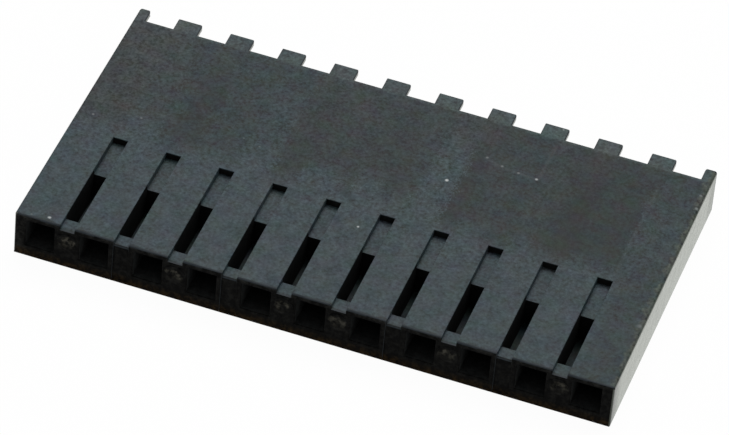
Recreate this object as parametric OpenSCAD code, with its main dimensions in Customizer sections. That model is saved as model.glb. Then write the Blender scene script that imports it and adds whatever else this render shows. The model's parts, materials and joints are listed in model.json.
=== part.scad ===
// Receptacle housing for one row of crimp contacts: a flat one-piece moulding, open at both ends.
// X runs along the row, Y from the mating side to the wire side, Z up.
// The origin is under the centre of the whole housing, on its flat bottom.

/* [Row] */
// Number of contact positions, each with its own cavity
positions = 11; // [3:1:20]
// Distance from one contact position to the next
pitch = 2.54; // [2.5:0.01:3.2]

/* [Body] */
// Length of the body from the mating face to the back edge of its top and floor
body_len = 14.62; // [11:0.01:20]
// Height of the body
body_h = 2.32; // [2.1:0.01:3.5]
// Thickness of each of the two end walls
end_wall = 0.54; // [0.4:0.01:1.2]
// Thickness of the inner walls between neighbouring cavities
wall = 1.18; // [1.1:0.01:1.4]
// Thickness of the top skin over the cavities
skin = 0.27; // [0.2:0.01:0.4]
// Thickness of the floor under the cavities
floor_t = 0.61; // [0.4:0.01:0.8]
// Radius along the upper edge of the mating face
edge_r = 0.13; // [0.05:0.01:0.15]

/* [Slots in the top, one over each inner wall] */
// Width of each slot
slot_w = 0.7; // [0.5:0.01:0.8]
// Length of each slot from the mating face
slot_len = 6.49; // [5:0.01:8]
// Depth of the shallow part of the slot
slot_depth = 0.34; // [0.25:0.01:0.5]
// Length of the deep pocket in the slot
pocket_len = 3.34; // [2:0.01:3.8]
// Length of the bridge that closes the pocket towards the mating face
bridge_len = 0.8; // [0.5:0.01:1]
// Depth of the top of the bridge under the top face
bridge_depth = 0.24; // [0.15:0.01:0.25]

/* [Wire side] */
// Distance that the thin tabs and the end walls stand out behind the body
tab_len = 0.78; // [0.4:0.01:1.5]
// Thickness of the end walls under the thin plates at their tips
tip_wall = 0.25; // [0.15:0.01:0.35]
// Radius on the inner corner of the plates at the tips
tip_r = 0.2; // [0.05:0.01:0.35]

/* [Marks on the mating face] */
// Radius of the round ejector pads
pad_r = 0.5; // [0.3:0.01:0.55]
// Distance from the top face down to the ejector pads' centres
pad_drop = 0.92; // [0.85:0.01:1.2]
// Height that the ejector pads stand proud of the mating face
pad_h = 0.03; // [0.02:0.01:0.1]
// Depth of the flat relief in the walls that have no ejector pad
relief_d = 0.05; // [0.02:0.01:0.15]
// Height of the strip that is left below each relief
relief_foot = 0.12; // [0.05:0.01:0.4]

/* [Hidden] */
$fn = 64;
eps = 0.01;

cavity_w = pitch - wall;
body_w = (positions - 1) * pitch + cavity_w + 2 * end_wall;
full_len = body_len + tab_len;
walls = positions - 1;
front_y = -(full_len - pad_h) / 2;
back_y = front_y + body_len;
end_y = front_y + full_len;

// Middle of the inner wall number i, counted from 1, along X
function wall_x(i) = (i - (walls + 1) / 2) * pitch;

// Middle of the cavity number i, counted from 1, along X
function cavity_x(i) = (i - (positions + 1) / 2) * pitch;

// Every other wall, counted from the nearer end, has an ejector pad
function has_pad(i) = min(i, walls + 1 - i) % 2 == 1;

// A box centred on x, from y0 to y1 and from z0 to z1
module block(x, w, y0, y1, z0, z1) {
    translate([x - w / 2, y0, z0])
        cube([w, y1 - y0, z1 - z0]);
}

// Side view of the body with its rounded upper front edge, drawn as length and height
module side_profile() {
    difference() {
        square([body_len, body_h]);
        translate([0, body_h - edge_r])
            difference() {
                translate([-eps, 0])
                    square([edge_r + eps, edge_r + eps]);
                translate([edge_r, 0])
                    circle(r = edge_r);
            }
    }
}

// The closed outer body, without cavities and slots
module body() {
    translate([-body_w / 2, front_y, 0])
        rotate([90, 0, 90])
            linear_extrude(body_w)
                side_profile();
}

// Plan of the plate at the tip of the left end wall, with a rounded inner corner
module tip_plan() {
    difference() {
        translate([0, -eps])
            square([end_wall, tab_len + eps]);
        translate([end_wall - tip_r, tab_len - tip_r])
            difference() {
                square(tip_r + eps);
                circle(r = tip_r);
            }
    }
}

// End walls stand out behind the body: a plate as thick as the skin, over a thinner wall of the whole height
module end_wall_tips() {
    for (side = [0, 1])
        mirror([side, 0, 0])
            translate([-body_w / 2, back_y, 0]) {
                translate([0, 0, body_h - skin])
                    linear_extrude(skin)
                        tip_plan();
                translate([0, -eps, 0])
                    cube([tip_wall, tab_len + eps, body_h]);
            }
}

// Thin tabs carry the top skin on behind the inner walls, as wide as the walls are thick
module tabs() {
    for (i = [1:walls])
        block(wall_x(i), wall, back_y - eps, end_y, body_h - skin, body_h);
}

// Straight square cavities, open at both ends
module cavities() {
    for (i = [1:positions])
        block(cavity_x(i), cavity_w, front_y - eps, back_y + eps, floor_t, body_h - skin);
}

// Slot over one inner wall: a shallow channel, a deep blind pocket, and a low bridge at the front
module slot(x) {
    pocket_y = front_y + bridge_len;
    channel_y = pocket_y + pocket_len;
    top_z = body_h + eps;
    block(x, slot_w, front_y - eps, pocket_y + eps, body_h - bridge_depth, top_z);
    block(x, slot_w, pocket_y, channel_y, floor_t, top_z);
    block(x, slot_w, channel_y - eps, front_y + slot_len, body_h - slot_depth, top_z);
}

// Flat relief under the bridge, down to the strip along the bottom edge
module relief(x) {
    block(x, slot_w, front_y - eps, front_y + relief_d, relief_foot, body_h - bridge_depth + eps);
}

// Round pad left by an ejector pin
module pad(x) {
    translate([x, front_y + eps, body_h - pad_drop])
        rotate([90, 0, 0])
            cylinder(r = pad_r, h = pad_h + eps);
}

module housing() {
    color("#3b4043") {
        difference() {
            union() {
                body();
                end_wall_tips();
                tabs();
            }
            cavities();
            for (i = [1:walls])
                slot(wall_x(i));
            for (i = [1:walls])
                if (!has_pad(i))
                    relief(wall_x(i));
        }
        for (i = [1:walls])
            if (has_pad(i))
                pad(wall_x(i));
    }
}

housing();
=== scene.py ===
"""Looks of a receptacle housing for one row of crimp contacts: a flat black one-piece moulding."""

import itertools
import json
import math

import bmesh
import bpy
from mathutils import Matrix, Vector, noise


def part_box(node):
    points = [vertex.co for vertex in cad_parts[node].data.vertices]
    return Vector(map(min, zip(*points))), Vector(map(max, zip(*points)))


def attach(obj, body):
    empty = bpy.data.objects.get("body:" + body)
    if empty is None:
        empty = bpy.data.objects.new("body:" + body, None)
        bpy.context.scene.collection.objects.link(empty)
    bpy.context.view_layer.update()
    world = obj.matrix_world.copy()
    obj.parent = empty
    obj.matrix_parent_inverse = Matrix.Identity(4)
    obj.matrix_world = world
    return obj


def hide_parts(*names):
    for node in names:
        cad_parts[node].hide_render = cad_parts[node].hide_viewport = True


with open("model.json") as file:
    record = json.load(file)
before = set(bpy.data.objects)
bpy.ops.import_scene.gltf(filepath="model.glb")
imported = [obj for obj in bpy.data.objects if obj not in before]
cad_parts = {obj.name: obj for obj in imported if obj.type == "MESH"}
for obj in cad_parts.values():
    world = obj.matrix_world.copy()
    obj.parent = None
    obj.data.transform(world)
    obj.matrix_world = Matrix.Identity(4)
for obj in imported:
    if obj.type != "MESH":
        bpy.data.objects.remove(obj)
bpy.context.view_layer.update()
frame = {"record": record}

MM = 0.001

# Sizes of the moulding in metres; what the frame states is read from it
low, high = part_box("housing")
mounts = {m["name"]: m for m in frame["record"]["mounts"]}
POSITIONS = mounts["header_side"]["dims"]["count"]
PITCH = mounts["header_side"]["dims"]["spacing_x_mm"] * MM
FRONT_Y = mounts["header_side"]["pos_m"][1]
BACK_Y = mounts["contact_side"]["pos_m"][1]
END_Y = high.y
TOP_Z = high.z
HALF_LENGTH = high.x
WALL = 1.18 * MM  # inner wall between two cavities
SKIN = 0.27 * MM  # over the cavities
FLOOR = 0.61 * MM  # under the cavities
SLOT_W = 0.70 * MM
SLOT_LENGTH = 6.49 * MM
SLOT_DEPTH = 0.34 * MM
POCKET_LENGTH = 3.34 * MM
BRIDGE_LENGTH = 0.80 * MM  # between the front plane and the pocket
BRIDGE_DEPTH = 0.24 * MM  # below the top
PAD_R = 0.50 * MM
PAD_DROP = 0.92 * MM  # middle of an ejector pad below the top
PAD_H = FRONT_Y - low.y
RELIEF_DEPTH = 0.05 * MM
RELIEF_FOOT = 0.12 * MM  # foot of a relief above the underside
TIP_WALL = 0.25 * MM  # outer wall at the tip of an end wall
RIGHT_SHADED_RIM = 0.10 * MM  # painted shade: a darker rim at the back of the right end face
# painted shade: a darker rim at the back of the left end face, as on the right
LEFT_SHADED_RIM = 0.14 * MM

CAVITY_W = PITCH - WALL
CEILING_Z = TOP_Z - SKIN
PAD_Z = TOP_Z - PAD_DROP
PAD_FACE_Y = FRONT_Y - PAD_H
RELIEF_Y = FRONT_Y + RELIEF_DEPTH
SLOT_END_Y = FRONT_Y + SLOT_LENGTH
POCKET_Y = FRONT_Y + BRIDGE_LENGTH
CHANNEL_Y = POCKET_Y + POCKET_LENGTH
CHANNEL_Z = TOP_Z - SLOT_DEPTH
BRIDGE_Z = TOP_Z - BRIDGE_DEPTH

# Less than any size of the moulding: what lies closer together than this is in one place
TINY = 0.001 * MM

# Radii along the edges of the moulding
FRONT_RADIUS = 0.10 * MM
SIDE_RADIUS = 0.16 * MM
LEFT_SIDE_RADIUS = 0.11 * MM
RELIEF_RADIUS = 0.04 * MM
MOUTH_RADIUS = 0.05 * MM
BRIDGE_RADIUS = 0.11 * MM
TIP_RADIUS = 0.20 * MM
CORNER_RADIUS = 0.13 * MM
OUTER_RADIUS = 0.05 * MM
FINE_RADIUS = 0.022 * MM
# A rounded edge is three strips. The one beside a face points the way that face does by more than STRAIGHT,
# and the middle one by more than TOWARDS.
EDGE_STRIPS = 3
STRAIGHT = 0.8
TOWARDS = 0.5
# Share of a direction along an axis from which it counts as running along that axis
ALONG = 0.9
# Angle between two faces from which their edge is sharp, in radians
SHARP = 0.8

# Half the number of strips that a pad is divided into, each way
PAD_STEPS = 9

# Places in the list of finishes
SATIN, EDGES, MATT, END_FACE, MATING_FACE = range(5)


def linear(hex_code):
    """An sRGB hex colour as linear RGBA."""
    channels = [int(hex_code[i:i + 2], 16) / 255 for i in (0, 2, 4)]
    return [c / 12.92 if c <= 0.04045 else ((c + 0.055) / 1.055) ** 2.4 for c in channels] + [1.0]


def add(tree, kind, inputs=None, **settings):
    """Adds a node, applies its settings, then sets its inputs or links them to other sockets.

    Inputs go by name or number. Map Range takes the value 0 from the range 1 to 2 into the range 3 to 4, or
    0 to 1 where none is given. Mix goes the share 0 of the way from 2 to 3, or for colours from 6 to 7.
    """
    node = tree.nodes.new(kind)
    for name, value in settings.items():
        setattr(node, name, value)
    for key, value in (inputs or {}).items():
        if isinstance(value, bpy.types.NodeSocket):
            tree.links.new(value, node.inputs[key])
        else:
            node.inputs[key].default_value = value
    return node


def pad_places():
    """Places of the ejector pads along X: every other inner wall, counted from the nearer end."""
    walls = POSITIONS - 1
    odd = [i for i in range(walls) if min(i + 1, walls - i) % 2]
    return [(i - (walls - 1) / 2) * PITCH for i in odd]


# ---------------------------------------------------------------- finishes


def new_material(name):
    """An empty node material and its tree."""
    material = bpy.data.materials.new(name)
    material.use_nodes = True
    tree = material.node_tree
    tree.nodes.clear()
    return material, tree


# Bands in the thin skin behind the slots, where its gloss differs round the slots and cavities, drawn as
# painted sheen in the colour: where each starts along the row, how far back from the front plane the lighter
# front zone of painted sheen reaches into it, both in mm, its tone from 0, dark, to 1, light, and how much of
# its bluish cast, a painted reflection, it has lost.
BANDS = ((-14.0, 7.3, 0.38, 0.5), (-11.7, 8.0, 0.42, 0.2), (-10.2, 7.0, 0.32, 0.0), (-9.6, 7.0, 0.19, 0.1),
         (-8.2, 7.2, 0.35, 0.0), (-6.2, 8.1, 0.52, 0.0), (-4.6, 6.9, 0.20, 0.3), (-3.3, 8.2, 0.26, 0.2),
         (-1.5, 7.1, 0.28, 0.2), (-0.9, 8.6, 0.22, 0.2), (0.3, 7.6, 0.22, 0.2), (1.2, 7.6, 0.34, 0.1),
         (1.9, 11.9, 0.60, 0.3), (3.3, 6.8, 0.09, 0.3), (4.2, 7.3, 0.24, 0.1), (5.5, 6.4, 0.24, 0.0),
         (6.7, 7.2, 0.26, 0.2), (7.6, 6.8, 0.14, 0.2), (8.4, 6.8, 0.0, 0.4), (9.6, 7.1, 0.08, 0.1),
         (11.6, 7.0, 0.44, 0.0))
# Nicks and dust on the top: place along the row, distance from the front plane and radius in mm, and how
# light each is
SPECKS = ((2.90, 9.84, 0.12, 0.8), (0.29, 5.30, 0.08, 0.7), (-12.39, 0.33, 0.10, 0.7),
          (-12.42, 0.33, 0.09, 0.6), (6.58, 11.54, 0.10, 0.55), (4.08, 12.04, 0.10, 0.19),
          (4.88, 11.75, 0.10, 0.20), (5.70, 11.61, 0.10, 0.20), (-13.18, 7.57, 0.09, 0.2),
          (13.70, 13.5, 0.10, 0.2), (13.72, 4.2, 0.17, 0.12), (-6.4, 8.8, 0.06, 0.1),
          (-5.56, 8.55, 0.07, 0.12), (6.66, 15.26, 0.07, 0.3), (-11.1, 8.2, 0.09, 0.15),
          (-13.2, 0.22, 0.07, 0.15), (13.78, 12.6, 0.12, 0.2))
# Fine scratches on the top: both ends in mm and how light each is, and how far they show to either side
SCRATCHES = ((4.04, 14.2, 4.05, 12.1, 0.012), (4.05, 11.98, 4.88, 11.68, 0.022),
             (4.88, 11.68, 6.56, 11.52, 0.025), (6.70, 14.0, 6.66, 11.6, 0.026),
             (-11.1, 14.0, -11.15, 11.2, 0.01), (11.78, 13.2, 11.72, 7.0, 0.014))
SCRATCH_REACH = 0.13
# Places that finishes change at, in mm: the last inner wall and the end along the row, and how far the back
# of the body lies behind the front plane
LAST_WALL = (POSITIONS - 2) / 2 * PITCH / MM
END = HALF_LENGTH / MM
BACK = (BACK_Y - FRONT_Y) / MM
# Radius of the raised ring on each ejector pad
RING_R = 0.24 * MM
# Tone of the satin faces that their lightest colour stands for
LIGHTEST = 1.5


def millimetres(tree):
    """Place in mm from the middle of the foot of the mating face, as a vector and along its three axes."""
    place = add(tree, "ShaderNodeTexCoord").outputs["Object"]
    place = add(tree, "ShaderNodeVectorMath", {0: place, 1: (0, FRONT_Y, 0)}, operation="SUBTRACT").outputs[0]
    place = add(tree, "ShaderNodeVectorMath", {0: place, "Scale": 1 / MM}, operation="SCALE").outputs[0]
    return place, *add(tree, "ShaderNodeSeparateXYZ", {0: place}).outputs


def clouds(tree, place, size, detail, roughness=0.5):
    """Cloudy noise from about -0.5 to 0.5; size is that of its largest clouds in mm."""
    texture = add(tree, "ShaderNodeTexNoise", {
        "Vector": place, "Scale": 1.0 / size, "Detail": detail, "Roughness": roughness})
    return add(tree, "ShaderNodeMath", {0: texture.outputs["Fac"], 1: 0.5}, operation="SUBTRACT").outputs[0]


def bands(tree, place, x):
    """Reach of the front zone in mm, tone of the skin and how grey it is, by place along the row."""
    # The borders of the bands wander in wide waves and are ragged in fine ones.
    for size, amount in ((0.9, 0.5), (0.09, 1.4)):
        waves = clouds(tree, place, size, detail=1.0)
        x = add(tree, "ShaderNodeMath", {0: waves, 1: amount, 2: x}, operation="MULTIPLY_ADD").outputs[0]
    # A ramp from the start of the first band to as far on the other side gives each band its values, and the
    # reach as a share of the longest.
    first = BANDS[0][0]
    last = -first
    longest = max(reach for _, reach, _, _ in BANDS)
    share = add(tree, "ShaderNodeMapRange", {0: x, 1: first, 2: last}).outputs[0]
    ramp = add(tree, "ShaderNodeValToRGB", {0: share})
    ramp.color_ramp.interpolation = "CONSTANT"
    elements = ramp.color_ramp.elements
    while len(elements) < len(BANDS):
        elements.new(1.0)
    for element, (start, reach, tone, grey) in zip(elements, BANDS):
        element.position = (start - first) / (last - first)
        element.color = (reach / longest, tone, grey, 1)
    reach, tone, grey = add(tree, "ShaderNodeSeparateColor", {0: ramp.outputs[0]}).outputs
    reach = add(tree, "ShaderNodeMath", {0: reach, 1: longest}, operation="MULTIPLY").outputs[0]
    return reach, tone, grey


def marks(tree, x, y):
    """Light specks and scratches on the top, as a value from 0 to 1."""
    flat = add(tree, "ShaderNodeCombineXYZ", {0: x, 1: y}).outputs[0]
    # Each mark: how far a place lies from it, the distances at which it ends and is full, and how light it is
    drawn = []
    for at_x, at_y, radius, strength in SPECKS:
        away = add(tree, "ShaderNodeVectorMath", {0: flat, 1: (at_x, at_y, 0)}, operation="DISTANCE")
        drawn.append((away.outputs[1], radius, radius * 0.2, strength))
    for x0, y0, x1, y1, strength in SCRATCHES:
        along = Vector((x1 - x0, y1 - y0, 0))
        from_end = add(tree, "ShaderNodeVectorMath", {0: flat, 1: (x0, y0, 0)},
                       operation="SUBTRACT").outputs[0]
        share = add(tree, "ShaderNodeVectorMath", {0: from_end, 1: along / along.length_squared},
                    operation="DOT_PRODUCT").outputs[1]
        share = add(tree, "ShaderNodeClamp", {0: share}).outputs[0]
        nearest = add(tree, "ShaderNodeVectorMath", {0: along, "Scale": share}, operation="SCALE").outputs[0]
        away = add(tree, "ShaderNodeVectorMath", {0: from_end, 1: nearest}, operation="DISTANCE")
        drawn.append((away.outputs[1], SCRATCH_REACH, 0.01, strength))
    light = 0.0
    for away, outer, full, strength in drawn:
        mark = add(tree, "ShaderNodeMapRange", {0: away, 1: outer, 2: full, 4: strength},
                   interpolation_type="SMOOTHSTEP").outputs[0]
        light = add(tree, "ShaderNodeMath", {0: light, 1: mark}, operation="MAXIMUM").outputs[0]
    return light


def satin_tone(tree, place, x, y, z):
    """Tone of the satin faces from 0, dark, to LIGHTEST, without their grain but with their painted sheen and
    shade, and how grey they are.
    """
    # The front zone has painted sheen, a little less to the right and least beyond the last slot.
    front = add(tree, "ShaderNodeMapRange", {0: x, 1: -END, 2: LAST_WALL, 3: 0.86, 4: 0.74}).outputs[0]
    margin = add(tree, "ShaderNodeMapRange", {0: x, 1: LAST_WALL, 2: LAST_WALL + 1.0},
                 interpolation_type="SMOOTHSTEP").outputs[0]
    front = add(tree, "ShaderNodeMix", {0: margin, 2: front, 3: 0.40}).outputs[0]
    # The bands' painted sheen evens out towards the back, to a tone that falls from left to right.
    reach, skin, grey = bands(tree, place, x)
    evened = add(tree, "ShaderNodeMapRange", {0: y, 1: BACK - 3.6, 2: BACK - 0.8, 4: 0.7}).outputs[0]
    far = add(tree, "ShaderNodeMapRange", {0: x, 1: -END, 2: LAST_WALL, 3: 0.5, 4: 0.2}).outputs[0]
    skin = add(tree, "ShaderNodeMix", {0: evened, 2: skin, 3: far}).outputs[0]
    past = add(tree, "ShaderNodeMath", {0: y, 1: reach}, operation="SUBTRACT").outputs[0]
    ragged = clouds(tree, place, size=0.8, detail=4.0)
    past = add(tree, "ShaderNodeMath", {0: past, 1: ragged}).outputs[0]
    zone = add(tree, "ShaderNodeMapRange", {0: past, 1: -0.7, 2: 0.9},
               interpolation_type="SMOOTHSTEP").outputs[0]
    tone = add(tree, "ShaderNodeMix", {0: zone, 2: front, 3: skin}).outputs[0]
    grey = add(tree, "ShaderNodeMath", {0: grey, 1: zone}, operation="MULTIPLY").outputs[0]
    # Painted shade in the recesses: the bridges and the floors of the slots are a little darker than the top,
    # and those of the pockets much.
    bridge = BRIDGE_Z / MM
    for low_z, high_z, darker in ((bridge - 0.06, bridge + 0.06, -0.06), (bridge - 0.5, bridge - 0.2, -0.6)):
        recess_shade = add(tree, "ShaderNodeMapRange", {0: z, 1: low_z, 2: high_z, 3: darker, 4: 0.0}).outputs[0]
        tone = add(tree, "ShaderNodeMath", {0: tone, 1: recess_shade}).outputs[0]
    # A dark rim along the front, ragged at its inner side
    ragged = clouds(tree, place, size=0.5, detail=4.0, roughness=0.7)
    rim = add(tree, "ShaderNodeMath", {0: ragged, 1: 0.6, 2: y}, operation="MULTIPLY_ADD").outputs[0]
    rim = add(tree, "ShaderNodeMapRange", {0: rim, 1: 0.17, 2: 0.09}).outputs[0]
    tone = add(tree, "ShaderNodeMix", {0: rim, 2: tone, 3: 0.1}).outputs[0]
    return tone, grey


def satin_thermoplastic():
    """Glass-filled black thermoplastic, moulded against a spark-eroded face: a soft sheen, a cloudy grain."""
    material, tree = new_material("thermoplastic_moulded_satin")
    place, x, y, z = millimetres(tree)
    tone, grey = satin_tone(tree, place, x, y, z)
    share = add(tree, "ShaderNodeMath", {0: tone, 1: LIGHTEST}, operation="DIVIDE").outputs[0]
    colour = add(tree, "ShaderNodeMix", {0: share, 6: linear("0f1818"), 7: linear("3e4a50")},
                 data_type="RGBA").outputs[2]
    # The tabs are a greener grey. Along the right end's edge a ragged band of lighter, warmer grey is painted
    # sheen, where the top rounds over towards the glossy end face.
    tabs = add(tree, "ShaderNodeMapRange", {0: y, 1: BACK - 0.22, 2: BACK - 0.07}).outputs[0]
    ragged = clouds(tree, place, size=0.6, detail=3.0, roughness=0.6)
    worn = add(tree, "ShaderNodeMath", {0: ragged, 1: x}).outputs[0]
    worn = add(tree, "ShaderNodeMapRange", {0: worn, 1: END - 0.26, 2: END - 0.12}).outputs[0]
    for part, tint in ((tabs, "344041"), (worn, "383d37")):
        colour = add(tree, "ShaderNodeMix", {0: part, 6: colour, 7: linear(tint)},
                     data_type="RGBA").outputs[2]
    # The real grain goes finer than 0.1 mm, too fine to show, so it is drawn a little coarser.
    grain = clouds(tree, place, size=0.14, detail=1.0, roughness=0.7)
    mottle = clouds(tree, place, size=0.8, detail=3.0, roughness=0.9)
    rougher = add(tree, "ShaderNodeMapRange", {0: y, 1: 3.0, 2: 9.0, 3: 2.8, 4: 4.0}).outputs[0]
    value = 1.0
    for pattern, amount in ((grain, rougher), (mottle, 2.0)):
        value = add(tree, "ShaderNodeMath", {0: pattern, 1: amount, 2: value},
                    operation="MULTIPLY_ADD").outputs[0]
    # Light places and the tabs are calmer.
    calm = add(tree, "ShaderNodeMapRange", {0: tone, 1: 0.4, 2: 0.7, 3: 0.0, 4: 0.18}).outputs[0]
    calm = add(tree, "ShaderNodeMath", {0: tabs, 1: 0.35, 2: calm}, operation="MULTIPLY_ADD").outputs[0]
    value = add(tree, "ShaderNodeMix", {0: calm, 2: value, 3: 1.0}).outputs[0]
    cast = add(tree, "ShaderNodeMath", {0: 1.0, 1: grey}, operation="SUBTRACT").outputs[0]
    colour = add(tree, "ShaderNodeHueSaturation", {
        "Saturation": cast, "Value": value, "Color": colour}).outputs[0]
    # Streaks of filler, 1.2 to the millimetre, shift the hue a little.
    hue = add(tree, "ShaderNodeTexNoise", {"Vector": place, "Scale": 1.2, "Detail": 2.0}).outputs["Color"]
    colour = add(tree, "ShaderNodeMix", {0: 0.010, 6: colour, 7: hue},
                 data_type="RGBA", blend_type="LINEAR_LIGHT").outputs[2]
    colour = add(tree, "ShaderNodeMix", {0: marks(tree, x, y), 6: colour, 7: linear("c8cccc")},
                 data_type="RGBA").outputs[2]
    bump = add(tree, "ShaderNodeBump", {
        "Strength": 0.3, "Distance": 0.004 * MM, "Height": grain}).outputs[0]
    shader = add(tree, "ShaderNodeBsdfPrincipled", {
        "Base Color": colour, "Roughness": 0.55, "IOR": 1.5, "Specular IOR Level": 0.17,
        "Specular Tint": linear("f8ffff"), "Normal": bump})
    add(tree, "ShaderNodeOutputMaterial", {"Surface": shader.outputs[0]})
    return material


def edge_thermoplastic():
    """The same plastic on the rounded edges, which look darker than the grained faces: painted shade where
    the edges turn from the light.
    """
    material, tree = new_material("thermoplastic_moulded_edges")
    place = millimetres(tree)[0]
    wear = clouds(tree, place, size=0.4, detail=4.0, roughness=0.7)
    wear = add(tree, "ShaderNodeMapRange", {0: wear, 1: -0.2, 2: 0.2}).outputs[0]
    colour = add(tree, "ShaderNodeMix", {0: wear, 6: linear("22272b"), 7: linear("30363a")},
                 data_type="RGBA").outputs[2]
    shader = add(tree, "ShaderNodeBsdfPrincipled", {
        "Base Color": colour, "Roughness": 0.5, "IOR": 1.5, "Specular IOR Level": 0.1})
    add(tree, "ShaderNodeOutputMaterial", {"Surface": shader.outputs[0]})
    return material


def matt_thermoplastic():
    """The same plastic inside the cavities and pockets: coarse and matt, so it looks deep black."""
    material, tree = new_material("thermoplastic_moulded_matt")
    place, x, y, _ = millimetres(tree)
    grain = clouds(tree, place, size=0.3, detail=4.0, roughness=0.8)
    grain = add(tree, "ShaderNodeMapRange", {0: grain, 1: -0.2, 2: 0.2}).outputs[0]
    colour = add(tree, "ShaderNodeMix", {0: grain, 6: linear("0e0f0f"), 7: linear("202121")},
                 data_type="RGBA").outputs[2]
    # The first stretch behind the mating face is painted lighter: painted light falling in through the
    # mouths.
    mouth_light = add(tree, "ShaderNodeMapRange", {0: y, 1: 1.2, 2: 0.0, 3: 1.0, 4: 2.2}).outputs[0]
    # The cavities are a little lighter than the pockets.
    off_middle = add(tree, "ShaderNodeMath", {0: x, 1: PITCH / 2 / MM}, operation="PINGPONG").outputs[0]
    in_cavity = add(tree, "ShaderNodeMath", {0: off_middle, 1: (CAVITY_W / 2 + TINY) / MM},
                    operation="LESS_THAN").outputs[0]
    cavity_lighter = add(tree, "ShaderNodeMapRange", {0: in_cavity, 3: 1.0, 4: 1.4}).outputs[0]
    value = add(tree, "ShaderNodeMath", {0: mouth_light, 1: cavity_lighter}, operation="MULTIPLY").outputs[0]
    colour = add(tree, "ShaderNodeHueSaturation", {"Value": value, "Color": colour}).outputs[0]
    shader = add(tree, "ShaderNodeBsdfPrincipled", {
        "Base Color": colour, "Roughness": 0.8, "IOR": 1.5, "Specular IOR Level": 0.02})
    add(tree, "ShaderNodeOutputMaterial", {"Surface": shader.outputs[0]})
    return material


def painted_ring_highlights(tree, place, x, z):
    """How strong the painted highlight on the ejector pads' raised rings is, from 0 to about 1: a broken ring
    on each, by place in mm.
    """
    flat = add(tree, "ShaderNodeCombineXYZ", {0: x, 2: z}).outputs[0]
    # How far the middle of the nearest pad is, or END where none is nearer
    nearest = END
    for pad_x in pad_places():
        away = add(tree, "ShaderNodeVectorMath", {0: flat, 1: (pad_x / MM, 0, PAD_Z / MM)},
                   operation="DISTANCE").outputs[1]
        nearest = add(tree, "ShaderNodeMath", {0: nearest, 1: away}, operation="MINIMUM").outputs[0]
    uneven = clouds(tree, place, size=0.5, detail=3.0, roughness=0.7)
    nearest = add(tree, "ShaderNodeMath", {0: uneven, 1: 0.9, 2: nearest},
                  operation="MULTIPLY_ADD").outputs[0]
    from_ring = add(tree, "ShaderNodeMath", {0: nearest, 1: RING_R / MM}, operation="SUBTRACT").outputs[0]
    from_ring = add(tree, "ShaderNodeMath", {0: from_ring}, operation="ABSOLUTE").outputs[0]
    ring_highlight = add(tree, "ShaderNodeMapRange", {0: from_ring, 1: 0.2, 2: 0.03},
                 interpolation_type="SMOOTHSTEP").outputs[0]
    # The painted highlight is broken, fainter on the rings' lower half, which faces away from the light, and
    # fainter towards the right.
    broken = clouds(tree, place, size=0.42, detail=4.0, roughness=0.7)
    middle = PAD_Z / MM
    for cause, start, end, first, last in (
            (broken, -0.08, 0.15, 0.0, 1.0),
            (z, middle - 0.2, middle + 0.1, 0.1, 1.0),
            (x, -LAST_WALL, LAST_WALL, 1.24, 0.66)):
        share = add(tree, "ShaderNodeMapRange", {0: cause, 1: start, 2: end, 3: first, 4: last}).outputs[0]
        ring_highlight = add(tree, "ShaderNodeMath", {0: ring_highlight, 1: share}, operation="MULTIPLY").outputs[0]
    return ring_highlight


def coarse_thermoplastic():
    """The same plastic on the mating face, rough and matt, with painted highlights on the ejector pads'
    rings.
    """
    material, tree = new_material("thermoplastic_moulded_coarse")
    place, x, _, z = millimetres(tree)
    # The foot has a brown tinge.
    above_foot = add(tree, "ShaderNodeMapRange", {0: z, 1: 0.1, 2: 0.5}).outputs[0]
    colour = add(tree, "ShaderNodeMix", {0: above_foot, 6: linear("241b0e"), 7: linear("0f0f0e")},
                 data_type="RGBA").outputs[2]
    grain = clouds(tree, place, size=0.3, detail=2.0, roughness=0.8)
    value = add(tree, "ShaderNodeMath", {0: grain, 1: 10.0, 2: 1.0}, operation="MULTIPLY_ADD").outputs[0]
    value = add(tree, "ShaderNodeMath", {0: value, 1: 0.2}, operation="MAXIMUM").outputs[0]
    # The left end is lighter, and towards the top the skin's front edge is lighter too: a painted highlight
    # where it rounds over into the top.
    left = add(tree, "ShaderNodeMapRange", {0: x, 1: 0.8 - END, 2: 0.3 - END, 3: 1.0, 4: 2.0}).outputs[0]
    rim = add(tree, "ShaderNodeMapRange", {
        0: z, 1: CEILING_Z / MM + 0.05, 2: TOP_Z / MM - 0.04, 3: 0.8, 4: 2.0}).outputs[0]
    for lighter in (left, rim):
        value = add(tree, "ShaderNodeMath", {0: value, 1: lighter}, operation="MULTIPLY").outputs[0]
    colour = add(tree, "ShaderNodeHueSaturation", {"Value": value, "Color": colour}).outputs[0]
    colour = add(tree, "ShaderNodeMix", {0: painted_ring_highlights(tree, place, x, z), 6: colour, 7: linear("54524a")},
                 data_type="RGBA").outputs[2]
    bump = add(tree, "ShaderNodeBump", {
        "Strength": 0.6, "Distance": 0.01 * MM, "Height": grain}).outputs[0]
    shader = add(tree, "ShaderNodeBsdfPrincipled", {
        "Base Color": colour, "Roughness": 0.7, "IOR": 1.5, "Specular IOR Level": 0.04, "Normal": bump})
    add(tree, "ShaderNodeOutputMaterial", {"Surface": shader.outputs[0]})
    return material


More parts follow.
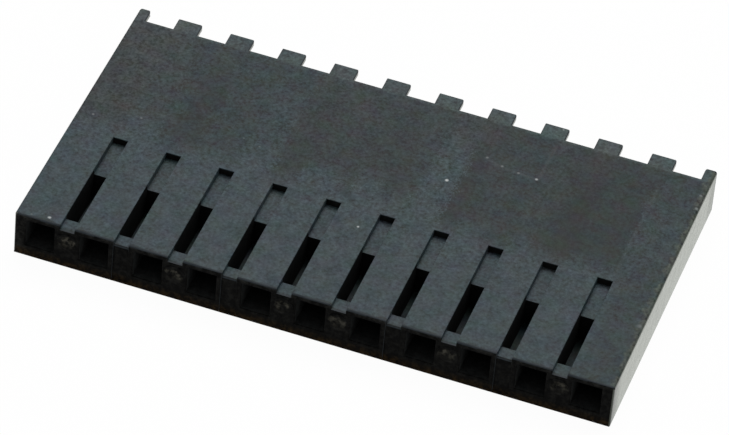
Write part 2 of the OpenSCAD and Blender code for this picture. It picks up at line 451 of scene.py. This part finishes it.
def smooth_thermoplastic():
    """The same plastic on the two end faces, drawn smooth out of the mould: a clear sheen at a low angle."""
    material, tree = new_material("thermoplastic_moulded_smooth")
    place, _, y, _ = millimetres(tree)
    # Drag marks and pits, drawn as soft unevenness
    uneven = clouds(tree, place, size=0.5, detail=3.0, roughness=0.7)
    bump = add(tree, "ShaderNodeBump", {
        "Strength": 0.7, "Distance": 0.05 * MM, "Height": uneven}).outputs[0]
    # The gloss fades towards the front corner and a little at the tip.
    gloss = add(tree, "ShaderNodeMapRange", {0: y, 1: 0.0, 2: 1.2, 3: 0.0, 4: 0.7}).outputs[0]
    tip = add(tree, "ShaderNodeMapRange", {0: y, 1: BACK - 0.4, 2: BACK, 4: 0.25}).outputs[0]
    gloss = add(tree, "ShaderNodeMath", {0: gloss, 1: tip}, operation="SUBTRACT").outputs[0]
    shader = add(tree, "ShaderNodeBsdfPrincipled", {
        "Base Color": linear("272b26"), "Roughness": 0.3, "IOR": 1.47,
        "Specular Tint": (0.93, 1.0, 0.85, 1.0), "Normal": bump,
        "Coat Weight": gloss, "Coat Roughness": 0.15, "Coat IOR": 1.5,
        "Coat Tint": (0.93, 1.0, 0.86, 1.0), "Coat Normal": bump})
    add(tree, "ShaderNodeOutputMaterial", {"Surface": shader.outputs[0]})
    return material


finishes = [satin_thermoplastic(), edge_thermoplastic(), matt_thermoplastic(), smooth_thermoplastic(),
            coarse_thermoplastic()]


# ---------------------------------------------------------------- the moulding


def block_solid(xs, ys, zs, joints, is_solid, finish_of):
    """Skin of all lattice boxes whose middle is solid: quads facing outwards, open at the joints in X."""
    # The corners of one box, and for each way out of it, the corners of its side
    corners = [(0, 0, 0), (1, 0, 0), (1, 1, 0), (0, 1, 0), (0, 0, 1), (1, 0, 1), (1, 1, 1), (0, 1, 1)]
    sides = {(-1, 0, 0): (0, 4, 7, 3), (1, 0, 0): (1, 2, 6, 5), (0, -1, 0): (0, 1, 5, 4),
             (0, 1, 0): (2, 3, 7, 6), (0, 0, -1): (0, 3, 2, 1), (0, 0, 1): (4, 5, 6, 7)}
    lines = (xs, ys, zs)
    counts = [len(line) - 1 for line in lines]

    def filled(cell):
        if any(not 0 <= c < n for c, n in zip(cell, counts)):
            return False
        return is_solid(*[(line[c] + line[c + 1]) / 2 for line, c in zip(lines, cell)])

    mesh = bmesh.new()
    finish = mesh.faces.layers.int.new("finish")
    points = {}
    for cell in itertools.product(*map(range, counts)):
        if not filled(cell):
            continue
        for way, ring in sides.items():
            beside = tuple(c + w for c, w in zip(cell, way))
            at_joint = way[0] and any(abs(xs[cell[0] + max(way[0], 0)] - x) < TINY for x in joints)
            if at_joint or filled(beside):
                continue
            keys = [tuple(c + d for c, d in zip(cell, corners[n])) for n in ring]
            for key in keys:
                if key not in points:
                    points[key] = mesh.verts.new([line[c] for line, c in zip(lines, key)])
            face = mesh.faces.new([points[key] for key in keys])
            face[finish] = finish_of(face.calc_center_median(), Vector(way))
    mesh.normal_update()
    return mesh


def save_mesh(mesh, name):
    """The finished cell as an object that the row is built from."""
    data = bpy.data.meshes.new(name)
    mesh.to_mesh(data)
    mesh.free()
    cell = bpy.data.objects.new(name, data)
    bpy.context.scene.collection.objects.link(cell)
    return cell


def merge_flat(mesh, keep):
    """Joins coplanar quads of one finish into one face, apart from faces that keep() wants as they are."""
    finish = mesh.faces.layers.int["finish"]
    edges = [e for e in mesh.edges if len(e.link_faces) == 2 and not any(keep(f) for f in e.link_faces)
             and e.link_faces[0][finish] == e.link_faces[1][finish]]
    verts = [v for v in mesh.verts if not any(keep(f) for f in v.link_faces)]
    bmesh.ops.dissolve_limit(mesh, angle_limit=0.001, verts=verts, edges=edges)


def wall_finish(middle, way):
    """Finish of a face of one wall, from where it lies and which way it faces."""
    in_wall = abs(middle.x) < WALL / 2 - TINY
    # the mating face, with the backs and the left sides of its reliefs
    if way.y < 0 and middle.y < RELIEF_Y + TINY:
        return MATING_FACE
    if way.x > 0 and in_wall and FRONT_Y < middle.y < RELIEF_Y:
        return MATING_FACE
    # the slot's far end, and then its floor, the bridge and the top
    if way.y < 0 and middle.y > CHANNEL_Y and middle.z > CHANNEL_Z:
        return EDGES
    if way.z > 0 and middle.z > CHANNEL_Z - TINY:
        return SATIN
    # the sides of the slot, which are darker over the pocket
    if way.x and in_wall and middle.z > CHANNEL_Z:
        return MATT if POCKET_Y < middle.y < CHANNEL_Y else SATIN
    # the underside and the pocket's floor
    if way.z < 0 and middle.z < TINY:
        return SATIN
    if way.z > 0 and abs(middle.x) < SLOT_W / 2 and middle.z < FLOOR + TINY and middle.y > POCKET_Y:
        return SATIN
    # the tabs, whose right sides are drawn smooth
    if middle.y > BACK_Y + TINY:
        return END_FACE if way.x > 0 else SATIN
    return MATT


def on_pad(place):
    """Whether a place in one wall's own frame lies on its ejector pad."""
    return place.y < FRONT_Y + TINY and math.hypot(place.x, place.z - PAD_Z) < PAD_R + TINY


def wall_cell(name, with_pad):
    """One inner wall with its slot and tab, from the middle of one cavity to the middle of the next."""
    pad = [i / PAD_STEPS for i in range(-PAD_STEPS, PAD_STEPS + 1)]
    xs = [-PITCH / 2, -WALL / 2, -SLOT_W / 2, SLOT_W / 2, WALL / 2, PITCH / 2]
    zs = [0, RELIEF_FOOT, FLOOR, CEILING_Z, CHANNEL_Z, BRIDGE_Z, TOP_Z]
    ys = [FRONT_Y, RELIEF_Y, POCKET_Y, CHANNEL_Y, SLOT_END_Y, BACK_Y, END_Y]
    if with_pad:
        xs += [PAD_R * u for u in pad]
        zs += [PAD_Z + PAD_R * u for u in pad]
        ys = [PAD_FACE_Y] + ys
    xs, zs = sorted(set(xs)), sorted(set(zs))

    def is_solid(x, y, z):
        x = abs(x)
        if y < FRONT_Y:
            return x < PAD_R and abs(z - PAD_Z) < PAD_R
        if y > BACK_Y:
            return x < WALL / 2 and z > CEILING_Z
        if x > WALL / 2 and FLOOR < z < CEILING_Z:
            return False
        if x < SLOT_W / 2:
            if not with_pad and y < RELIEF_Y and RELIEF_FOOT < z < BRIDGE_Z:
                return False
            if y < POCKET_Y:
                return z < BRIDGE_Z
            if y < CHANNEL_Y:
                return z < FLOOR
            if y < SLOT_END_Y:
                return z < CHANNEL_Z
        return True

    mesh = block_solid(xs, ys, zs, (-PITCH / 2, PITCH / 2), is_solid, wall_finish)
    if with_pad:
        # The square of the pad becomes a disc.
        for vert in mesh.verts:
            u, v = vert.co.x / PAD_R, (vert.co.z - PAD_Z) / PAD_R
            if vert.co.y < FRONT_Y + TINY and max(abs(u), abs(v)) * PAD_R < PAD_R + TINY:
                vert.co.x = PAD_R * u * math.sqrt(1 - v * v / 2)
                vert.co.z = PAD_Z + PAD_R * v * math.sqrt(1 - u * u / 2)
    merge_flat(mesh, lambda f: with_pad and on_pad(f.calc_center_median()))
    return save_mesh(mesh, name)


def end_cell(name, side):
    """One end wall with half of its cavity; side is -1 at the left end and 1 at the right."""
    outer = HALF_LENGTH - (POSITIONS - 1) / 2 * PITCH
    xs = sorted([0, side * CAVITY_W / 2, side * (outer - TIP_WALL), side * outer])
    zs = [0, FLOOR, CEILING_Z, TOP_Z]
    rim = RIGHT_SHADED_RIM if side > 0 else LEFT_SHADED_RIM
    ys = [FRONT_Y, BACK_Y, END_Y - rim, END_Y]

    def is_solid(x, y, z):
        in_wall = abs(x) > CAVITY_W / 2
        if y > BACK_Y:
            return in_wall and (z > CEILING_Z or abs(x) > outer - TIP_WALL)
        return in_wall or not FLOOR < z < CEILING_Z

    def finish_of(middle, way):
        # an end face, with a rim of the edge finish at its back as painted shade
        if way.x and abs(middle.x) > outer - TINY:
            return END_FACE if middle.y < END_Y - rim else EDGES
        if way.z > 0 and middle.z < FLOOR + TINY:
            return MATT
        return wall_finish(middle, way)

    mesh = block_solid(xs, ys, zs, (0,), is_solid, finish_of)
    merge_flat(mesh, lambda f: False)
    return save_mesh(mesh, name)


def row_tree():
    """Geometry nodes that set the walls in a row, every other one with a pad, and close both ends."""
    tree = bpy.data.node_groups.new("row_of_walls", "GeometryNodeTree")
    tree.interface.new_socket("Geometry", in_out="OUTPUT", socket_type="NodeSocketGeometry")
    for name, kind in (("Positions", "Int"), ("Pitch", "Float"), ("Wall with pad", "Object"),
                       ("Wall with relief", "Object"), ("Left end", "Object"), ("Right end", "Object"),
                       ("Weld distance", "Float")):
        tree.interface.new_socket(name, in_out="INPUT", socket_type="NodeSocket" + kind)
    given = add(tree, "NodeGroupInput").outputs
    walls = add(tree, "ShaderNodeMath", {0: given["Positions"], 1: 1.0}, operation="SUBTRACT").outputs[0]
    span = add(tree, "ShaderNodeMath", {0: walls, 1: 1.0}, operation="SUBTRACT").outputs[0]
    start = add(tree, "ShaderNodeMath", {0: span, 1: given["Pitch"]}, operation="MULTIPLY").outputs[0]
    start = add(tree, "ShaderNodeMath", {0: start, 1: -0.5}, operation="MULTIPLY").outputs[0]
    line = add(tree, "GeometryNodeMeshLine", {
        "Count": walls,
        "Start Location": add(tree, "ShaderNodeCombineXYZ", {"X": start}).outputs[0],
        "Offset": add(tree, "ShaderNodeCombineXYZ", {"X": given["Pitch"]}).outputs[0]}, mode="OFFSET")
    # Walls are counted from the nearer end, and the odd ones have a pad.
    index = add(tree, "GeometryNodeInputIndex").outputs[0]
    from_left = add(tree, "ShaderNodeMath", {0: index, 1: 1.0}, operation="ADD").outputs[0]
    from_right = add(tree, "ShaderNodeMath", {0: walls, 1: index}, operation="SUBTRACT").outputs[0]
    nearer = add(tree, "ShaderNodeMath", {0: from_left, 1: from_right}, operation="MINIMUM").outputs[0]
    odd = add(tree, "ShaderNodeMath", {0: nearer, 1: 2.0}, operation="MODULO").outputs[0]
    even = add(tree, "ShaderNodeMath", {0: 1.0, 1: odd}, operation="SUBTRACT").outputs[0]
    parts = []
    for chosen, name in ((odd, "Wall with pad"), (even, "Wall with relief")):
        cell = add(tree, "GeometryNodeObjectInfo", {"Object": given[name]}).outputs["Geometry"]
        row = add(tree, "GeometryNodeInstanceOnPoints", {
            "Points": line.outputs[0], "Selection": chosen, "Instance": cell})
        parts.append(row.outputs[0])
    reach = add(tree, "ShaderNodeMath", {0: walls, 1: given["Pitch"]}, operation="MULTIPLY").outputs[0]
    for half, name in ((-0.5, "Left end"), (0.5, "Right end")):
        cell = add(tree, "GeometryNodeObjectInfo", {"Object": given[name]}).outputs["Geometry"]
        x = add(tree, "ShaderNodeMath", {0: reach, 1: half}, operation="MULTIPLY").outputs[0]
        place = add(tree, "ShaderNodeCombineXYZ", {"X": x}).outputs[0]
        end = add(tree, "GeometryNodeTransform", {"Geometry": cell, "Translation": place})
        parts.append(end.outputs[0])
    joined = add(tree, "GeometryNodeJoinGeometry")
    for part in parts:
        tree.links.new(part, joined.inputs[0])
    real = add(tree, "GeometryNodeRealizeInstances", {"Geometry": joined.outputs[0]}).outputs[0]
    whole = add(tree, "GeometryNodeMergeByDistance", {
        "Geometry": real, "Distance": given["Weld distance"]}).outputs[0]
    finish = add(tree, "GeometryNodeInputNamedAttribute", {"Name": "finish"}, data_type="INT").outputs[0]
    for number, material in enumerate(finishes):
        same = add(tree, "FunctionNodeCompare", {2: finish, 3: number},
                   data_type="INT", operation="EQUAL").outputs[0]
        whole = add(tree, "GeometryNodeSetMaterial", {
            "Geometry": whole, "Selection": same, "Material": material}).outputs[0]
    add(tree, "NodeGroupOutput", {"Geometry": whole})
    return tree


def order_finishes(mesh):
    """Gives the mesh all the finishes in the order of their numbers, and each face the number of its own."""
    numbers = [finishes.index(mesh.materials[face.material_index]) for face in mesh.polygons]
    mesh.materials.clear()
    for material in finishes:
        mesh.materials.append(material)
    for face, number in zip(mesh.polygons, numbers):
        face.material_index = number


def bake(name, tree, values):
    """Evaluates a geometry tree on an empty mesh and returns the result as a plain mesh object."""
    base = bpy.data.objects.new(name + "_base", bpy.data.meshes.new(name + "_base"))
    bpy.context.scene.collection.objects.link(base)
    modifier = base.modifiers.new("rule", "NODES")
    modifier.node_group = tree
    sockets = {s.name: s.identifier for s in tree.interface.items_tree if s.in_out == "INPUT"}
    for key, value in values.items():
        modifier[sockets[key]] = value
    evaluated = base.evaluated_get(bpy.context.evaluated_depsgraph_get())
    data = bpy.data.meshes.new_from_object(evaluated)
    data.name = name
    order_finishes(data)
    result = bpy.data.objects.new(name, data)
    bpy.context.scene.collection.objects.link(result)
    base.modifiers.clear()
    bpy.data.objects.remove(base)
    return result


cells = {
    "Wall with pad": wall_cell("wall_with_pad", True),
    "Wall with relief": wall_cell("wall_with_relief", False),
    "Left end": end_cell("left_end", -1),
    "Right end": end_cell("right_end", 1),
}
housing = bake("housing_moulding", row_tree(), {
    "Positions": POSITIONS, "Pitch": PITCH, "Weld distance": TINY, **cells})
for cell in cells.values():
    bpy.data.objects.remove(cell)


def from_wall(x):
    """How far a place along the row lies from the middle of its nearest inner wall."""
    walls = x / PITCH + (POSITIONS - 2) / 2
    return (walls - round(walls)) * PITCH


def edge_radius(edge):
    """Radius that the mould gives a convex edge, from where the edge lies."""
    a, b = edge.verts[0].co, edge.verts[1].co
    middle = (a + b) / 2
    way = (b - a).normalized()
    upright = abs(way.z) > ALONG
    along_row = abs(way.x) > ALONG
    beside_right_side = any(face.normal.x > ALONG for face in edge.link_faces)
    at_front = middle.y < FRONT_Y + TINY
    at_back = middle.y > END_Y - TINY
    # round the two end faces
    if abs(middle.x) > HALF_LENGTH - TINY:
        if upright:
            return CORNER_RADIUS if at_front or middle.x < 0 else OUTER_RADIUS
        if middle.z > TOP_Z - TINY:
            return SIDE_RADIUS if middle.x > 0 else LEFT_SIDE_RADIUS
        return FINE_RADIUS
    # along the front of the top and of the bridges
    if along_row and at_front and middle.z > TOP_Z - TINY:
        return FRONT_RADIUS
    if along_row and abs(middle.z - BRIDGE_Z) < TINY and middle.y < RELIEF_Y + TINY:
        return BRIDGE_RADIUS
    # round the pads, and at the front of the slots' sides, which stay sharp
    if middle.y < FRONT_Y - TINY or (upright and at_front and middle.z > BRIDGE_Z):
        return 0.0
    # at the sides of the reliefs
    if upright and at_front and abs(from_wall(middle.x)) < WALL / 2 - TINY:
        return RELIEF_RADIUS if beside_right_side else FINE_RADIUS
    # round the mouths of the cavities
    if at_front and FLOOR - TINY < middle.z < CEILING_Z + TINY:
        return MOUTH_RADIUS
    # round the tabs and the tips of the end walls
    if middle.y > BACK_Y - TINY and middle.z > CEILING_Z - TINY:
        if upright and at_back and abs(middle.x) > (POSITIONS - 1) / 2 * PITCH:
            return TIP_RADIUS
        return CORNER_RADIUS if upright and at_back and beside_right_side else OUTER_RADIUS
    return FINE_RADIUS


def edge_finish(face):
    """Finish of a rounded edge: that of the faces beside it, or the edge finish's painted shade where it
    borders the top.
    """
    middle = face.center
    at_front = middle.y < FRONT_Y + FRONT_RADIUS
    at_top = middle.z > TOP_Z - FRONT_RADIUS
    upwards = face.normal.z > TOWARDS
    # the left front corner of the top, and the foot of the top's front edge
    if at_front and at_top and middle.x < SIDE_RADIUS - HALF_LENGTH:
        return END_FACE
    if at_front and at_top and not upwards:
        return MATING_FACE
    # a painted highlight down the left side of each relief, in the edge finish, lighter than the mating face
    off_relief = abs(from_wall(middle.x) + SLOT_W / 2)
    if at_front and TOWARDS < face.normal.x < STRAIGHT and off_relief < RELIEF_RADIUS:
        return EDGES
    # the edges of the end faces
    if abs(middle.x) > HALF_LENGTH - SIDE_RADIUS and middle.y < END_Y - RIGHT_SHADED_RIM and not at_front:
        return SATIN if upwards or middle.x < 0 else END_FACE
    # the bridges
    if at_front and middle.z > BRIDGE_Z - BRIDGE_RADIUS and abs(from_wall(middle.x)) < SLOT_W / 2:
        return EDGES if upwards else MATING_FACE
    # the top's other edges: painted shade along the front, back and tabs, and like the top round the slots
    if at_top or middle.y > BACK_Y:
        return SATIN if not at_front and middle.y < BACK_Y - OUTER_RADIUS else EDGES
    if middle.y < FRONT_Y - TINY:
        return MATING_FACE
    if abs(middle.x) > HALF_LENGTH - OUTER_RADIUS:
        return END_FACE
    return MATING_FACE if middle.y < RELIEF_Y + TINY else MATT


def raise_rings(piece):
    """Raises a broken ring on each ejector pad, as a worn pin leaves it."""
    height, width, break_size = 0.05 * MM, 0.07 * MM, 0.25 * MM
    centres = [Vector((x, 0, PAD_Z)) for x in pad_places()]
    for vert in piece.data.vertices:
        if vert.co.y > PAD_FACE_Y + TINY:
            continue
        away = min(((vert.co - c) * Vector((1, 0, 1))).length for c in centres)
        crest = math.exp(-((away - RING_R) / width) ** 2)
        vert.co.y -= height * crest * max(0.0, 0.6 + noise.noise(vert.co / break_size))


def apply_modifier(piece, kind, **settings):
    """Bakes one modifier into the mesh of the piece."""
    modifier = piece.modifiers.new(kind.lower(), kind)
    for name, value in settings.items():
        setattr(modifier, name, value)
    evaluated = piece.evaluated_get(bpy.context.evaluated_depsgraph_get())
    mesh = bpy.data.meshes.new_from_object(evaluated)
    piece.modifiers.clear()
    piece.data = mesh


def give_edges_radii(piece):
    """Rounds each convex edge by its own radius."""
    mesh = bmesh.new()
    mesh.from_mesh(piece.data)
    weights = mesh.edges.layers.float.new("bevel_weight_edge")
    for edge in mesh.edges:
        if edge.is_convex and edge.calc_face_angle() > SHARP:
            edge[weights] = edge_radius(edge) / TIP_RADIUS
    mesh.to_mesh(piece.data)
    mesh.free()
    apply_modifier(piece, "BEVEL", limit_method="WEIGHT", width=TIP_RADIUS, segments=EDGE_STRIPS,
                   use_clamp_overlap=False, material=EDGES)
    for face in piece.data.polygons:
        if face.material_index == EDGES:
            face.material_index = edge_finish(face)


def shade_flat_and_round(piece):
    """Shades the rounded edges smooth and keeps the flat faces flat and the inner corners sharp."""
    piece.data.shade_smooth()
    mesh = bmesh.new()
    mesh.from_mesh(piece.data)
    for edge in mesh.edges:
        edge.smooth = edge.calc_face_angle() < SHARP
    mesh.to_mesh(piece.data)
    mesh.free()
    apply_modifier(piece, "WEIGHTED_NORMAL", keep_sharp=True)


raise_rings(housing)
give_edges_radii(housing)
shade_flat_and_round(housing)
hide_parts("housing")
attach(housing, "root")


# ---------------------------------------------------------------- floor, light and camera


def seen_itself(tree):
    """1 where the stage is seen, by the camera, in a reflection or through glass; 0 where it only lights."""
    path = add(tree, "ShaderNodeLightPath").outputs
    seen = add(tree, "ShaderNodeMath", {0: path["Is Camera Ray"], 1: path["Is Glossy Ray"]}).outputs[0]
    return add(tree, "ShaderNodeMath", {0: seen, 1: path["Is Transmission Ray"]}, use_clamp=True).outputs[0]


# Half the side of the floor, and how far it lies below the part so that the two don't meet
FLOOR_HALF = 0.6
FLOOR_GAP = 0.01 * MM
# How much of what is seen of the floor is plain white; the rest shows the part's shadow
WHITE_SHARE = 0.97
# Light from all round, as a share of white
FILL = 0.3
# The product view: what the camera looks at, from how far, from where and how far it is turned, in degrees
VIEW_AIM = Vector((-0.341, 0.747, 0.048)) * MM
VIEW_DISTANCE = 254.77 * MM
VIEW_AZIMUTH, VIEW_ELEVATION, VIEW_TURN = 15.790, 41.839, 5.461
# Its lens and sensor, in the camera's own millimetres
FOCAL_LENGTH, SENSOR_WIDTH = 280.24, 36.0


def floor_sheet():
    """Plain pale sheet under the part, which shows white and keeps the part's shadow."""
    mesh = bmesh.new()
    bmesh.ops.create_grid(mesh, x_segments=2, y_segments=2, size=FLOOR_HALF)
    data = bpy.data.meshes.new("floor")
    mesh.to_mesh(data)
    mesh.free()
    sheet = bpy.data.objects.new("floor", data)
    bpy.context.scene.collection.objects.link(sheet)
    sheet.location.z = low.z - FLOOR_GAP
    material, tree = new_material("paper_matt_white")
    seen = seen_itself(tree)
    share = add(tree, "ShaderNodeMath", {0: seen, 1: WHITE_SHARE}, operation="MULTIPLY").outputs[0]
    matt = add(tree, "ShaderNodeBsdfDiffuse", {"Color": linear("fafafa")})
    white = add(tree, "ShaderNodeEmission", {"Color": linear("ffffff"), "Strength": 1.0})
    mixed = add(tree, "ShaderNodeMixShader", {0: share, 1: matt.outputs[0], 2: white.outputs[0]})
    add(tree, "ShaderNodeOutputMaterial", {"Surface": mixed.outputs[0]})
    data.materials.append(material)


def room_light():
    """Even light from all round; the room itself shows white."""
    world = bpy.data.worlds.new("studio")
    bpy.context.scene.world = world
    world.use_nodes = True
    tree = world.node_tree
    tree.nodes.clear()
    fill = add(tree, "ShaderNodeBackground", {"Color": linear("ffffff"), "Strength": FILL})
    white = add(tree, "ShaderNodeBackground", {"Color": linear("ffffff"), "Strength": 1.0})
    mixed = add(tree, "ShaderNodeMixShader", {0: seen_itself(tree), 1: fill.outputs[0], 2: white.outputs[0]})
    add(tree, "ShaderNodeOutputWorld", {"Surface": mixed.outputs[0]})


def direction(azimuth, elevation):
    """Unit vector from the part; azimuth 0 is towards the mating side and 90 towards +X, in degrees."""
    a, e = math.radians(azimuth), math.radians(elevation)
    return Vector((math.sin(a) * math.cos(e), -math.cos(a) * math.cos(e), math.sin(e)))


def soft_lamp(name, azimuth, elevation, distance, size, strength):
    """Square soft box that faces the part; strength is the share of white that it gives a facing surface."""
    lamp = bpy.data.lights.new(name, "AREA")
    lamp.size = size
    lamp.energy = strength * math.pi ** 2 * distance ** 2
    holder = bpy.data.objects.new(name, lamp)
    away = direction(azimuth, elevation)
    holder.location = away * distance
    holder.rotation_euler = away.to_track_quat("Z", "Y").to_euler()
    bpy.context.scene.collection.objects.link(holder)


def product_camera():
    """Long lens at the product view, a little turned about its axis."""
    lens = bpy.data.cameras.new("camera")
    lens.lens = FOCAL_LENGTH
    lens.sensor_width = SENSOR_WIDTH
    lens.clip_start = 0.01
    lens.clip_end = 10.0
    camera = bpy.data.objects.new("camera", lens)
    back = direction(VIEW_AZIMUTH, VIEW_ELEVATION)
    camera.location = VIEW_AIM + back * VIEW_DISTANCE
    level = back.to_track_quat("Z", "Y").to_matrix()
    turn = Matrix.Rotation(math.radians(VIEW_TURN), 3, "Z")
    camera.rotation_euler = (level @ turn).to_euler()
    bpy.context.scene.collection.objects.link(camera)
    bpy.context.scene.camera = camera


floor_sheet()
room_light()
soft_lamp("softbox_behind", azimuth=178, elevation=60, distance=0.5, size=0.35, strength=0.82)
product_camera()
bpy.context.scene.view_settings.view_transform = "Standard"
